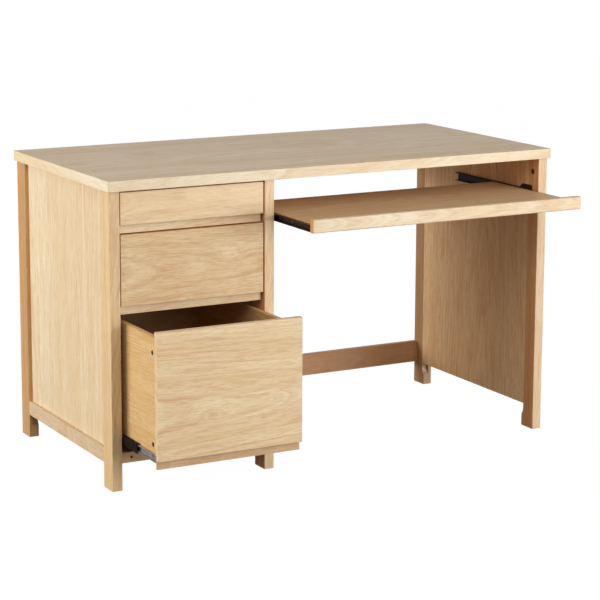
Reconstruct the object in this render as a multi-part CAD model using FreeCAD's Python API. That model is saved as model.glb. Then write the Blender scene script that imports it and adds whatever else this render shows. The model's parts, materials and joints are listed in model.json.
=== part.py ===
import FreeCAD, Part
import math
import os

# Writing desk with a three-drawer pedestal on the left and a keyboard tray over the knee space.
# Millimetres. X runs along the width, the front faces -Y and Z is up, with the floor at zero.
# The desk stands with its file drawer and its tray drawn out part of the way and the two upper
# drawers shut. Three end frames, of two legs and a panel each, carry the top.

# Table top
TOP_WIDTH = 1250.0
TOP_DEPTH = 610.0
DESK_HEIGHT = 750.0
TOP_THICKNESS = 25.5
LIPPING = 3.0
TOP_CORNER_RADIUS = 3.0
TOP_EDGE_EASE = 1.0

# End frames: legs, panels and base rails
LEG_WIDTH = 26.0
LEG_DEPTH = 52.0
LEG_EDGE_EASE = 1.0
SIDE_OVERHANG = 6.0
FRONT_OVERHANG = 8.0
BACK_OVERHANG = 8.0
PEDESTAL_WIDTH = 435.0
PANEL_THICKNESS = 16.0
PANEL_FLOOR_GAP = 61.0
REBATE_DEPTH = 8.0
REBATE_FLOOR_GAP = 30.0
REBATE_CUTTER_RADIUS = 29.0
BASE_RAIL_HEIGHT = 36.0

# Rails, back panel and packer
RAIL_THICKNESS = 16.0
FRONT_RAIL_HEIGHT = 26.0
FRONT_RAIL_SETBACK = 20.0
TOP_RAIL_WIDTH = 60.0
TOP_RAIL_THICKNESS = 18.0
BACK_PANEL_THICKNESS = 16.0
STRETCHER_HEIGHT = 60.0
REAR_RAIL_HEIGHT = 80.0
BLOCK_LENGTH = 45.0
BLOCK_DEPTH = 20.0
PACKER_HEIGHT = 35.0

# Drawers
FACE_THICKNESS = 16.0
FACE_SIDE_GAP = 3.0
FACE_SETBACK = 2.0
FACE_EDGE_EASE = 0.8
TOP_GAP = 4.0
DRAWER_GAP = 2.5
TOP_FACE_HEIGHT = 77.5
MIDDLE_FACE_HEIGHT = 171.0
FILE_RAIL_GAP = 13.0
STRIP_HEIGHT = 21.0
STRIP_SETBACK = 10.0
STRIP_LAP = 12.0
STRIP_END_INSET = 2.0
BOX_THICKNESS = 12.0
BOX_TOP_DROP = 18.0
BOX_BOTTOM_DROP = 5.0
BOX_REAR_ROOM = 55.0
BOTTOM_THICKNESS = 5.0
BOTTOM_RISE = 10.0
GROOVE_DEPTH = 5.0
GROOVE_CLEARANCE = 0.2
FILE_DRAWN = 200.0

# Keyboard tray
TRAY_THICKNESS = 18.0
TRAY_DEPTH = 362.0
TRAY_TOP_DROP = 84.5
TRAY_LIP_HEIGHT = 32.0
TRAY_LIP_THICKNESS = 16.0
TRAY_LIP_RISE = 12.0
TRAY_LIP_SIDE_GAP = 3.5
TRAY_LIP_EASE = 3.0
TRAY_DRAWN = 192.0
TRAY_TRAVEL = 260.0

# Ball-bearing runners: bent steel members one inside another, with a cage of balls between them
RUNNER_SPACE = 12.7
RUNNER_STEEL = 1.1
BALL_RACE = 2.1
RUNNER_LIP = 1.2
RUNNER_BEND = 1.6
MEMBER_TIP_GAP = 0.8
CAGE_STEEL = 0.5
CAGE_CLEARANCE = 0.3
CAGE_END_GAP = 10.0
DRAWER_MEMBER_HEIGHT = 17.4
DRAWER_RUNNER_END_GAP = 2.5
DRAWER_RUNNER_RISE = 7.5
TRAY_MEMBER_HEIGHT = 16.3
TRAY_RUNNER_SETBACK = 27.0
TRAY_RUNNER_FRONT_GAP = 1.0
TRAY_RUNNER_TAIL = 11.0
TRAY_RUNNER_DROP = 10.3
LUG_LENGTH = 56.0
LUG_HEIGHT = 10.0
LUG_SLOPE = 14.0

# Fasteners
SCREW_HEAD_DIAMETER = 6.5
SCREW_HEAD_HEIGHT = 1.6
SCREW_DIAMETER = 3.5
RUNNER_SCREW_LENGTH = 10.5
BLOCK_SCREW_LENGTH = 30.0
BLOCK_SCREW_INSET = 33.0
CAM_DIAMETER = 15.0
CAM_DEPTH = 12.5
CAM_DROP = 37.0
BOX_CAM_DIAMETER = 12.0
BOX_CAM_DEPTH = 9.0
BOX_CAM_INSET = 33.0
BOX_CAM_TOP_DROP = 38.0
BOX_CAM_BOTTOM_RISE = 34.5
SHALLOW_CAM_TOP_DROP = 20.0
BOLT_DIAMETER = 6.0
BOLT_THREAD_DIAMETER = 4.5
BOLT_THREAD_LENGTH = 9.0
CROSS_WIDTH = 1.4
CROSS_LENGTH = 8.0
CROSS_DEPTH = 1.5
FIT = 0.1
OVERRUN = 5.0

# Sides of the small round pieces, which are made with few faces because there are so many
CAM_SIDES = 12
HEAD_SIDES = 8
BOLT_SIDES = 6
SCREW_SIDES = 5

# Places of the runners' screws along each member, as shares of its length
cabinet_screw_share = (0.08, 0.9)
drawer_screw_share = (0.06, 0.9)
tray_screw_share = (0.295, 0.47)
tray_cabinet_screw_share = (0.65, 0.91)

# How far into its drum a cam takes its bolt, as a share of the drum's depth
cam_seat_share = 0.55

# Planes that the sizes above give
UNDERSIDE = DESK_HEIGHT - TOP_THICKNESS
FRONT = -TOP_DEPTH / 2 + FRONT_OVERHANG
BACK = TOP_DEPTH / 2 - BACK_OVERHANG
LEG_FRONT_INNER = FRONT + LEG_DEPTH
LEG_BACK_INNER = BACK - LEG_DEPTH
PANEL_RECESS = LEG_WIDTH - PANEL_THICKNESS
LEFT_FLUSH = -TOP_WIDTH / 2 + SIDE_OVERHANG + LEG_WIDTH
INNER_OUTER = -TOP_WIDTH / 2 + SIDE_OVERHANG + PEDESTAL_WIDTH
INNER_FLUSH = INNER_OUTER - LEG_WIDTH
RIGHT_FLUSH = TOP_WIDTH / 2 - SIDE_OVERHANG - LEG_WIDTH
RAIL_TOP = PANEL_FLOOR_GAP + FRONT_RAIL_HEIGHT
RAIL_FRONT = FRONT + FRONT_RAIL_SETBACK
BACK_PANEL_FRONT = BACK - BACK_PANEL_THICKNESS
FACE_FRONT = FRONT + FACE_SETBACK
FACE_BACK = FACE_FRONT + FACE_THICKNESS
BOX_REAR = BACK_PANEL_FRONT - BOX_REAR_ROOM
BOX_LEFT = LEFT_FLUSH + RUNNER_SPACE
BOX_RIGHT = INNER_FLUSH - RUNNER_SPACE
TRAY_TOP = UNDERSIDE - TRAY_TOP_DROP
TRAY_LEFT = INNER_OUTER + RUNNER_SPACE
TRAY_RIGHT = RIGHT_FLUSH - RUNNER_SPACE
TRAY_RUNNER_MIDDLE = TRAY_TOP - TRAY_RUNNER_DROP

# Heights of the drawer faces, counted down from the top, and up from the front rail for the last
TOP_FACE_HIGH = UNDERSIDE - TOP_GAP
TOP_FACE_LOW = TOP_FACE_HIGH - TOP_FACE_HEIGHT
MIDDLE_FACE_HIGH = TOP_FACE_LOW - STRIP_HEIGHT - DRAWER_GAP
MIDDLE_FACE_LOW = MIDDLE_FACE_HIGH - MIDDLE_FACE_HEIGHT
FILE_FACE_HIGH = MIDDLE_FACE_LOW - STRIP_HEIGHT - DRAWER_GAP
FILE_FACE_LOW = RAIL_TOP + FILE_RAIL_GAP + STRIP_HEIGHT

# The origin is on the floor under the middle of the whole, with the open file drawer counted in
ORIGIN_Y = (TOP_DEPTH / 2 + FACE_FRONT - FILE_DRAWN) / 2

# Each end frame: the plane of its flush side, and the way from there to its recessed side
FRAMES = {"left": (LEFT_FLUSH, -1), "inner": (INNER_FLUSH, 1), "right": (RIGHT_FLUSH, 1)}

UP = FreeCAD.Vector(0, 0, 1)
FORWARD = FreeCAD.Vector(0, -1, 0)
PARTS = {}


def vector(x, y, z):
    return FreeCAD.Vector(x, y, z)


def slab(x0, x1, y0, y1, z0, z1):
    """A board between two planes each way, given in either order."""
    low = vector(min(x0, x1), min(y0, y1), min(z0, z1))
    return Part.makeBox(abs(x1 - x0), abs(y1 - y0), abs(z1 - z0), low)


def sheet(points, thickness):
    """A flat outline of points in one plane, given a thickness along a vector."""
    return Part.Face(Part.makePolygon(points + points[:1])).extrude(thickness)


def upright_edges(shape):
    """The edges of a shape that run straight up."""
    return [e for e in shape.Edges if e.BoundBox.XLength < FIT and e.BoundBox.YLength < FIT]


def edges_at_front(shape, y):
    """The edges of a shape that lie in the plane at y."""
    return [e for e in shape.Edges if abs(e.BoundBox.YMin - y) < FIT and abs(e.BoundBox.YMax - y) < FIT]


def bar(sides, diameter, length, base, direction):
    """A straight bar of few sides, from base along a direction, as wide as its diameter over corners."""
    turn = FreeCAD.Rotation(UP, direction)
    radius = diameter / 2
    angles = [2 * math.pi * (side + 0.5) / sides for side in range(sides)]
    points = [base + turn.multVec(vector(radius * math.cos(a), radius * math.sin(a), 0)) for a in angles]
    return sheet(points, direction * length)


def group(solids):
    return Part.makeCompound(solids)


# Table top: a board with a mitred lipping on each edge
def finished_top():
    """The top as sanded: round corners and eased upper edges, which the lippings follow."""
    whole = slab(-TOP_WIDTH / 2, TOP_WIDTH / 2, -TOP_DEPTH / 2, TOP_DEPTH / 2, UNDERSIDE, DESK_HEIGHT)
    whole = whole.makeFillet(TOP_CORNER_RADIUS, upright_edges(whole))
    rim = [e for e in whole.Edges if abs(e.BoundBox.ZMin - DESK_HEIGHT) < FIT]
    return whole.makeChamfer(TOP_EDGE_EASE, rim)


def lipping(along_x, end):
    """One lipping: the strip on one edge of the top, mitred at both ends."""
    outer = vector(TOP_WIDTH / 2, TOP_DEPTH / 2, UNDERSIDE)
    inner = vector(TOP_WIDTH / 2 - LIPPING, TOP_DEPTH / 2 - LIPPING, UNDERSIDE)
    if along_x:
        points = [vector(-outer.x, end * outer.y, UNDERSIDE), vector(outer.x, end * outer.y, UNDERSIDE),
                  vector(inner.x, end * inner.y, UNDERSIDE), vector(-inner.x, end * inner.y, UNDERSIDE)]
    else:
        points = [vector(end * outer.x, -outer.y, UNDERSIDE), vector(end * outer.x, outer.y, UNDERSIDE),
                  vector(end * inner.x, inner.y, UNDERSIDE), vector(end * inner.x, -inner.y, UNDERSIDE)]
    return sheet(points, UP * TOP_THICKNESS)


def table_top():
    whole = finished_top()
    board = slab(-TOP_WIDTH / 2 + LIPPING, TOP_WIDTH / 2 - LIPPING, -TOP_DEPTH / 2 + LIPPING,
                 TOP_DEPTH / 2 - LIPPING, UNDERSIDE, DESK_HEIGHT).common(whole)
    for flush, out in FRAMES.values():
        for end in (-1, 1):
            seat = vector(bolt_x(flush, out), leg_middle(end), UNDERSIDE)
            board = board.cut(bolt_hole(seat, UP))
    PARTS["top_board"] = board
    strips = [lipping(along_x, end).common(whole) for along_x in (True, False) for end in (-1, 1)]
    PARTS["top_lippings"] = group([solid for strip in strips for solid in strip.Solids])


# Fasteners
def screw(seat, direction, head_height, length):
    """A screw with its head sunk flush with seat, and a shank that runs on into the wood."""
    head = bar(HEAD_SIDES, SCREW_HEAD_DIAMETER, head_height, seat, direction)
    return head.fuse(bar(SCREW_SIDES, SCREW_DIAMETER, length, seat, direction))


def screw_hole(seat, direction, head_height, length):
    """What such a screw takes out of the pieces that it holds."""
    above = seat - direction * OVERRUN
    head = bar(HEAD_SIDES, SCREW_HEAD_DIAMETER + 2 * FIT, OVERRUN + head_height, above, direction)
    return head.fuse(bar(SCREW_SIDES, SCREW_DIAMETER + 2 * FIT, length + FIT, seat, direction))


def cam(centre, inward, towards_bolt, diameter, depth):
    """A cam lock: a drum with a cross slot in its face and a notch for the bolt that it draws in."""
    drum = bar(CAM_SIDES, diameter, depth, centre, inward)
    seat = centre + inward * (depth * cam_seat_share)
    drum = drum.cut(bar(BOLT_SIDES, BOLT_DIAMETER + 2 * FIT, diameter, seat, towards_bolt))
    across = inward.cross(towards_bolt)
    for long_way, short_way in ((towards_bolt, across), (across, towards_bolt)):
        low = centre - long_way * (CROSS_LENGTH / 2) - short_way * (CROSS_WIDTH / 2)
        high = centre + long_way * (CROSS_LENGTH / 2) + short_way * (CROSS_WIDTH / 2) + inward * CROSS_DEPTH
        drum = drum.cut(slab(low.x, high.x, low.y, high.y, low.z, high.z))
    return drum


def cam_bolt(seat, direction, length):
    """A cam bolt: a plain shaft from the cam's middle, then a thinner thread in the next board."""
    shaft = bar(BOLT_SIDES, BOLT_DIAMETER, length, seat, direction)
    shoulder = seat + direction * length
    return shaft.fuse(bar(BOLT_SIDES, BOLT_THREAD_DIAMETER, BOLT_THREAD_LENGTH, shoulder, direction))


def bolt_hole(seat, direction):
    """The hole for a cam bolt's thread in the board that the bolt draws tight."""
    return bar(BOLT_SIDES, BOLT_THREAD_DIAMETER + 2 * FIT, BOLT_THREAD_LENGTH + FIT, seat, direction)


def cam_pocket(centre, inward, towards_bolt, diameter, depth, bolt_length):
    """What a cam and its bolt take out of the board that holds them."""
    pocket = bar(CAM_SIDES, diameter + 2 * FIT, depth + FIT, centre, inward)
    seat = centre + inward * (depth * cam_seat_share)
    return pocket.fuse(bar(BOLT_SIDES, BOLT_DIAMETER + 2 * FIT, bolt_length, seat, towards_bolt))


# End frames
def leg_middle(end):
    """The middle of a leg's depth, for a front leg (-1) or a rear leg (1)."""
    if end < 0:
        return FRONT + LEG_DEPTH / 2
    return BACK - LEG_DEPTH / 2


def bolt_x(flush, out):
    """Where the cam bolts of one end frame stand."""
    return flush + out * CAM_DEPTH * cam_seat_share


def rebate(flush, out, end):
    """The stopped rebate for the panel. Its lower end is the curve that the round cutter leaves."""
    edge = LEG_FRONT_INNER if end < 0 else LEG_BACK_INNER
    shy = REBATE_CUTTER_RADIUS - REBATE_DEPTH
    rise = math.sqrt(REBATE_CUTTER_RADIUS ** 2 - shy ** 2)
    full = REBATE_FLOOR_GAP + rise
    half_turn = math.atan2(rise, shy) / 2

    def place(depth, z):
        return vector(flush - out * OVERRUN, edge + end * depth, z)

    middle = place(REBATE_CUTTER_RADIUS * math.cos(half_turn) - shy,
                   full - REBATE_CUTTER_RADIUS * math.sin(half_turn))
    runout = Part.Arc(place(REBATE_DEPTH, full), middle, place(0, REBATE_FLOOR_GAP)).toShape()
    sides = Part.makePolygon([place(0, REBATE_FLOOR_GAP), place(-OVERRUN, REBATE_FLOOR_GAP),
                              place(-OVERRUN, UNDERSIDE + OVERRUN), place(REBATE_DEPTH, UNDERSIDE + OVERRUN),
                              place(REBATE_DEPTH, full)])
    cut = Part.Face(Part.Wire([runout] + sides.Edges))
    return cut.extrude(vector(out * (OVERRUN + PANEL_THICKNESS), 0, 0))


def leg(flush, out, end):
    """A leg with its rebate, and the pocket and bore of the cam that pulls the top down."""
    outer_y = FRONT if end < 0 else BACK
    post = slab(flush, flush + out * LEG_WIDTH, outer_y, outer_y - end * LEG_DEPTH, 0, UNDERSIDE)
    post = post.makeChamfer(LEG_EDGE_EASE, upright_edges(post))
    post = post.cut(rebate(flush, out, end))
    centre = vector(flush, leg_middle(end), UNDERSIDE - CAM_DROP)
    return post.cut(cam_pocket(centre, vector(out, 0, 0), UP, CAM_DIAMETER, CAM_DEPTH, CAM_DROP))


def end_frames():
    fixings = []
    base_rails = []
    for name, (flush, out) in FRAMES.items():
        for end, place in ((-1, "front"), (1, "rear")):
            PARTS[name + "_" + place + "_leg"] = leg(flush, out, end)
            centre = vector(flush, leg_middle(end), UNDERSIDE - CAM_DROP)
            fixings.append(cam(centre, vector(out, 0, 0), UP, CAM_DIAMETER, CAM_DEPTH))
            seat = vector(bolt_x(flush, out), leg_middle(end), UNDERSIDE - CAM_DROP)
            fixings.append(cam_bolt(seat, UP, CAM_DROP))
        PARTS[name + "_panel"] = slab(flush, flush + out * PANEL_THICKNESS, LEG_FRONT_INNER - REBATE_DEPTH,
                                      LEG_BACK_INNER + REBATE_DEPTH, PANEL_FLOOR_GAP, UNDERSIDE)
        outer = flush + out * LEG_WIDTH
        base_rails.append(slab(outer, outer - out * PANEL_RECESS, LEG_FRONT_INNER, LEG_BACK_INNER,
                               PANEL_FLOOR_GAP, PANEL_FLOOR_GAP + BASE_RAIL_HEIGHT))
    PARTS["base_rails"] = group(base_rails)
    PARTS["top_fixings"] = group(fixings)


# Pedestal rails and back panel, rails behind the knee space, and the packer for the tray's runner
def rails():
    rail_back = RAIL_FRONT + RAIL_THICKNESS
    z = (PANEL_FLOOR_GAP + RAIL_TOP) / 2
    rail = slab(LEFT_FLUSH, INNER_FLUSH, RAIL_FRONT, rail_back, PANEL_FLOOR_GAP, RAIL_TOP)
    blocks = []
    screws = []
    for flush, inward in ((LEFT_FLUSH, 1), (INNER_FLUSH, -1)):
        seat = vector(flush + inward * BLOCK_SCREW_INSET, RAIL_FRONT, z)
        hole = screw_hole(seat, vector(0, 1, 0), SCREW_HEAD_HEIGHT, BLOCK_SCREW_LENGTH)
        block = slab(flush, flush + inward * BLOCK_LENGTH, rail_back, rail_back + BLOCK_DEPTH,
                     PANEL_FLOOR_GAP, RAIL_TOP)
        rail = rail.cut(hole)
        blocks.append(block.cut(hole))
        screws.append(screw(seat, vector(0, 1, 0), SCREW_HEAD_HEIGHT, BLOCK_SCREW_LENGTH))
    PARTS["pedestal_front_rail"] = rail
    PARTS["rail_blocks"] = group(blocks)
    PARTS["pedestal_top_rail"] = slab(LEFT_FLUSH, INNER_FLUSH, RAIL_FRONT, RAIL_FRONT + TOP_RAIL_WIDTH,
                                      UNDERSIDE - TOP_RAIL_THICKNESS, UNDERSIDE)
    PARTS["pedestal_back_panel"] = slab(LEFT_FLUSH, INNER_FLUSH, BACK_PANEL_FRONT, BACK,
                                        PANEL_FLOOR_GAP, UNDERSIDE)
    PARTS["rear_stretcher"] = slab(INNER_OUTER, RIGHT_FLUSH, BACK - RAIL_THICKNESS, BACK, PANEL_FLOOR_GAP,
                                   PANEL_FLOOR_GAP + STRETCHER_HEIGHT)
    PARTS["rear_top_rail"] = slab(INNER_OUTER, RIGHT_FLUSH, BACK - RAIL_THICKNESS, BACK,
                                  UNDERSIDE - REAR_RAIL_HEIGHT, UNDERSIDE)
    packer_low = TRAY_RUNNER_MIDDLE - PACKER_HEIGHT / 2
    PARTS["tray_packer"] = slab(INNER_OUTER, INNER_OUTER - PANEL_RECESS, LEG_FRONT_INNER, LEG_BACK_INNER,
                                packer_low, packer_low + PACKER_HEIGHT)
    return screws


# Runners. Each member is a channel: a flat web, two flanges and a small lip that keeps the balls in
def rounded(corners):
    """A closed outline through (x, z, radius) corners, with an arc where the radius isn't zero."""
    edges = []
    count = len(corners)
    tangents = []
    for index in range(count):
        x, z, radius = corners[index]
        here = vector(x, 0, z)
        back = (vector(corners[index - 1][0], 0, corners[index - 1][1]) - here).normalize()
        onward_corner = corners[(index + 1) % count]
        onward = (vector(onward_corner[0], 0, onward_corner[1]) - here).normalize()
        half = back.getAngle(onward) / 2
        reach = radius / math.tan(half)
        middle = here + (back + onward).normalize() * (radius / math.sin(half) - radius)
        tangents.append((here + back * reach, middle, here + onward * reach, radius))
    for index in range(count):
        start, middle, end, radius = tangents[index]
        if radius > 0:
            edges.append(Part.Arc(start, middle, end).toShape())
        following = tangents[(index + 1) % count][0]
        edges.append(Part.LineSegment(end, following).toShape())
    return Part.Face(Part.Wire(edges))


def channel_section(web, reach, half):
    """A channel whose web starts at web and whose flanges end at reach, of a given half height."""
    inner = half - RUNNER_STEEL
    step = RUNNER_STEEL if reach > web else -RUNNER_STEEL
    upper = [(web, half, RUNNER_BEND), (reach, half, RUNNER_BEND), (reach, inner - RUNNER_LIP, 0),
             (reach - step, inner - RUNNER_LIP, 0), (reach - step, inner, 0), (web + step, inner, 0)]
    return upper + [(x, -z, radius) for x, z, radius in reversed(upper)]


def inner_section(web, reach, half):
    """The innermost member: a web and two plain flanges, with no lip, that run inside the balls."""
    inner = half - RUNNER_STEEL
    step = RUNNER_STEEL if reach > web else -RUNNER_STEEL
    upper = [(web, half, RUNNER_BEND), (reach, half, 0), (reach, inner, 0), (web + step, inner, 0)]
    return upper + [(x, -z, radius) for x, z, radius in reversed(upper)]


def cage_section(web, reach, half):
    """A ball cage: thin steel that runs round between two members, in the middle of the race."""
    inner = half - CAGE_STEEL
    upper = [(web, half, 0), (reach, half, 0), (reach, inner, 0), (web + CAGE_STEEL, inner, 0)]
    return upper + [(x, -z, radius) for x, z, radius in reversed(upper)]


def member(corners, plane, side, front, height, length):
    """A section set on a mounting plane and run back along Y. It stands out towards +X if side is 1."""
    placed = [(plane + side * x, height + z, radius) for x, z, radius in corners]
    solid = rounded(placed).extrude(vector(0, length, 0))
    solid.translate(vector(0, front, 0))
    return solid


def nested_half_heights(inner_height, stages):
    """Half heights of the members from the innermost out. Each stage adds a race and a flange."""
    return [inner_height / 2 + stage * (BALL_RACE + RUNNER_STEEL) for stage in range(stages + 1)]


def member_screws(plane, side, places, height):
    """Screws through a web on its mounting plane, with their heads in the web, and their holes."""
    seats = [vector(plane + side * RUNNER_STEEL, y, height) for y in places]
    into = vector(-side, 0, 0)
    screws = [screw(seat, into, RUNNER_STEEL, RUNNER_SCREW_LENGTH) for seat in seats]
    holes = [screw_hole(seat, into, RUNNER_STEEL, RUNNER_SCREW_LENGTH) for seat in seats]
    return screws, holes


def cut_all(shape, tools):
    for tool in tools:
        shape = shape.cut(tool)
    return shape


def cage_between(inner_half, web_start, reach, plane, side, front, height, length):
    """The cage of one stage, which lies half way between the flanges of its two members."""
    half = inner_half + BALL_RACE / 2 + CAGE_STEEL / 2
    return member(cage_section(web_start, reach, half), plane, side, front, height, length)


def drawer_runners(prefix, height, drawn):
    """Full-extension runners. Returns the fixed and moving screws and the holes for both."""
    front = FACE_BACK + DRAWER_RUNNER_END_GAP
    length = BOX_REAR - DRAWER_RUNNER_END_GAP - front
    inner_half, middle_half, cabinet_half = nested_half_heights(DRAWER_MEMBER_HEIGHT, 2)
    cage_step = CAGE_STEEL + 2 * CAGE_CLEARANCE
    middle_web = RUNNER_STEEL + cage_step
    middle_reach = RUNNER_SPACE - RUNNER_STEEL - MEMBER_TIP_GAP
    cabinet_reach = middle_reach - MEMBER_TIP_GAP
    inner_reach = middle_web + RUNNER_STEEL + cage_step
    cage_length = length / 2 - 2 * CAGE_END_GAP
    fixed = []
    middle = []
    cages = []
    moving = []
    results = [[], [], [], []]
    for plane, side in ((LEFT_FLUSH, 1), (INNER_FLUSH, -1)):
        places = [front + share * length for share in cabinet_screw_share]
        screws, holes = member_screws(plane, side, places, height)
        channel = member(channel_section(0, cabinet_reach, cabinet_half), plane, side, front, height, length)
        fixed.append(cut_all(channel, holes))
        results[0] += screws
        results[1] += holes
        middle_front = front - drawn / 2
        middle.append(member(channel_section(middle_web, middle_reach, middle_half), plane, side,
                             middle_front, height, length))
        cages.append(cage_between(middle_half, RUNNER_STEEL + CAGE_CLEARANCE,
                                  cabinet_reach - RUNNER_STEEL - CAGE_CLEARANCE, plane, side,
                                  middle_front + length / 2 + CAGE_END_GAP, height, cage_length))
        cages.append(cage_between(inner_half, middle_web + RUNNER_STEEL + CAGE_CLEARANCE,
                                  middle_reach - RUNNER_STEEL - CAGE_CLEARANCE, plane, side,
                                  middle_front + CAGE_END_GAP, height, cage_length))
        far = plane + side * RUNNER_SPACE
        places = [front - drawn + share * length for share in drawer_screw_share]
        screws, holes = member_screws(far, -side, places, height)
        channel = member(inner_section(0, RUNNER_SPACE - inner_reach, inner_half), far, -side,
                         front - drawn, height, length)
        moving.append(cut_all(channel, holes))
        results[2] += screws
        results[3] += holes
    PARTS[prefix + "_cabinet_members"] = group(fixed)
    PARTS[prefix + "_middle_members"] = group(middle)
    PARTS[prefix + "_ball_cages"] = group(cages)
    PARTS[prefix + "_inner_members"] = group(moving)
    return results


def lug(plane, side, cabinet_half):
    """The fixing lug that stands up at the front of the tray's cabinet member."""
    front = FRONT + TRAY_RUNNER_SETBACK
    low = TRAY_RUNNER_MIDDLE + cabinet_half - RUNNER_BEND
    high = TRAY_RUNNER_MIDDLE + cabinet_half + LUG_HEIGHT
    back = front + LUG_LENGTH
    points = [vector(plane, front, low), vector(plane, front, high), vector(plane, back - LUG_SLOPE, high),
              vector(plane, back, low)]
    return sheet(points, vector(side * RUNNER_STEEL, 0, 0))


def tray_runners(moving_front):
    """Single-extension runners for the tray. Returns the same four lists as for a drawer."""
    front = FRONT + TRAY_RUNNER_SETBACK
    length = TRAY_DEPTH - TRAY_RUNNER_FRONT_GAP - TRAY_RUNNER_TAIL
    height = TRAY_RUNNER_MIDDLE
    inner_half, cabinet_half = nested_half_heights(TRAY_MEMBER_HEIGHT, 1)
    cabinet_reach = RUNNER_SPACE - RUNNER_STEEL - MEMBER_TIP_GAP
    inner_reach = RUNNER_STEEL + CAGE_STEEL + 2 * CAGE_CLEARANCE
    cage_length = length - TRAY_TRAVEL - CAGE_END_GAP
    cage_front = (front + moving_front + length - cage_length) / 2
    lug_place = front + (LUG_LENGTH - LUG_SLOPE) / 2
    lug_height = height + cabinet_half + LUG_HEIGHT / 2
    fixed = []
    cages = []
    moving = []
    results = [[], [], [], []]
    for plane, side in ((INNER_OUTER, 1), (RIGHT_FLUSH, -1)):
        places = [front + share * length for share in tray_cabinet_screw_share]
        screws, holes = member_screws(plane, side, places, height)
        lug_screws, lug_holes = member_screws(plane, side, [lug_place], lug_height)
        channel = member(channel_section(0, cabinet_reach, cabinet_half), plane, side, front, height, length)
        channel = channel.fuse(lug(plane, side, cabinet_half))
        fixed += cut_all(channel, holes + lug_holes).Solids
        results[0] += screws + lug_screws
        results[1] += holes + lug_holes
        cages.append(cage_between(inner_half, RUNNER_STEEL + CAGE_CLEARANCE,
                                  cabinet_reach - RUNNER_STEEL - CAGE_CLEARANCE, plane, side, cage_front,
                                  height, cage_length))
        far = plane + side * RUNNER_SPACE
        places = [moving_front + share * length for share in tray_screw_share]
        screws, holes = member_screws(far, -side, places, height)
        channel = member(inner_section(0, RUNNER_SPACE - inner_reach, inner_half), far, -side,
                         moving_front, height, length)
        moving.append(cut_all(channel, holes))
        results[2] += screws
        results[3] += holes
    PARTS["tray_cabinet_members"] = group(fixed)
    PARTS["tray_ball_cages"] = group(cages)
    PARTS["tray_inner_members"] = group(moving)
    return results


# Drawers
def drawer(prefix, low, high, drawn, cam_heights):
    """One drawer of face, pull strip and box, on its runners. Returns the screws and holes of the case."""
    front = FACE_FRONT - drawn
    back = front + FACE_THICKNESS
    rear = BOX_REAR - drawn
    face_left = LEFT_FLUSH + FACE_SIDE_GAP
    face_right = INNER_FLUSH - FACE_SIDE_GAP
    side_low = low - BOX_BOTTOM_DROP
    side_high = high - BOX_TOP_DROP
    floor = side_low + BOTTOM_RISE
    runner_height = side_low + DRAWER_RUNNER_RISE
    case_screws, case_holes, box_screws, box_holes = drawer_runners(prefix, runner_height, drawn)

    face = slab(face_left, face_right, front, back, low, high)
    face = face.makeChamfer(FACE_EDGE_EASE, edges_at_front(face, front))
    strip_front = front + STRIP_SETBACK
    strip_high = low + STRIP_LAP
    face = face.cut(slab(face_left - OVERRUN, face_right + OVERRUN, strip_front, back + OVERRUN,
                         low - OVERRUN, strip_high))
    PARTS[prefix + "_pull_strip"] = slab(face_left + STRIP_END_INSET, face_right - STRIP_END_INSET,
                                         strip_front, back, low - STRIP_HEIGHT, strip_high)

    groove_low = floor - GROOVE_CLEARANCE / 2
    groove_high = floor + BOTTOM_THICKNESS + GROOVE_CLEARANCE / 2
    fittings = []
    for name, outer, inward in (("left", BOX_LEFT, 1), ("right", BOX_RIGHT, -1)):
        inner = outer + inward * BOX_THICKNESS
        board = slab(outer, inner, back, rear, side_low, side_high)
        board = board.cut(slab(inner + inward * OVERRUN, inner - inward * GROOVE_DEPTH, back - OVERRUN,
                               rear + OVERRUN, groove_low, groove_high))
        into = vector(inward, 0, 0)
        for z in cam_heights:
            centre = vector(outer, back + BOX_CAM_INSET, z)
            seat = centre + into * (BOX_CAM_DEPTH * cam_seat_share)
            pocket = cam_pocket(centre, into, FORWARD, BOX_CAM_DIAMETER, BOX_CAM_DEPTH, BOX_CAM_INSET)
            board = board.cut(pocket)
            face = face.cut(bolt_hole(seat + FORWARD * BOX_CAM_INSET, FORWARD))
            fittings.append(cam(centre, into, FORWARD, BOX_CAM_DIAMETER, BOX_CAM_DEPTH))
            fittings.append(cam_bolt(seat, FORWARD, BOX_CAM_INSET))
        PARTS[prefix + "_" + name + "_side"] = cut_all(board, box_holes)
    PARTS[prefix + "_face"] = face
    bottom_left = BOX_LEFT + BOX_THICKNESS - GROOVE_DEPTH + GROOVE_CLEARANCE
    bottom_right = BOX_RIGHT - BOX_THICKNESS + GROOVE_DEPTH - GROOVE_CLEARANCE
    PARTS[prefix + "_bottom"] = slab(bottom_left, bottom_right, back, rear, floor, floor + BOTTOM_THICKNESS)
    PARTS[prefix + "_back"] = slab(BOX_LEFT + BOX_THICKNESS, BOX_RIGHT - BOX_THICKNESS,
                                   rear - BOX_THICKNESS, rear, floor + BOTTOM_THICKNESS, side_high)
    PARTS[prefix + "_fittings"] = group(fittings + box_screws)
    return case_screws, case_holes


def drawers():
    """The three drawers. The shallow one has one cam a side, the others one high and one low."""
    screws, holes = drawer("top_drawer", TOP_FACE_LOW, TOP_FACE_HIGH, 0,
                           [TOP_FACE_HIGH - BOX_TOP_DROP - SHALLOW_CAM_TOP_DROP])
    for name, low, high, drawn in (("middle_drawer", MIDDLE_FACE_LOW, MIDDLE_FACE_HIGH, 0),
                                   ("file_drawer", FILE_FACE_LOW, FILE_FACE_HIGH, FILE_DRAWN)):
        cam_heights = [high - BOX_TOP_DROP - BOX_CAM_TOP_DROP, low - BOX_BOTTOM_DROP + BOX_CAM_BOTTOM_RISE]
        more_screws, more_holes = drawer(name, low, high, drawn, cam_heights)
        screws += more_screws
        holes += more_holes
    return screws, holes


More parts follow.
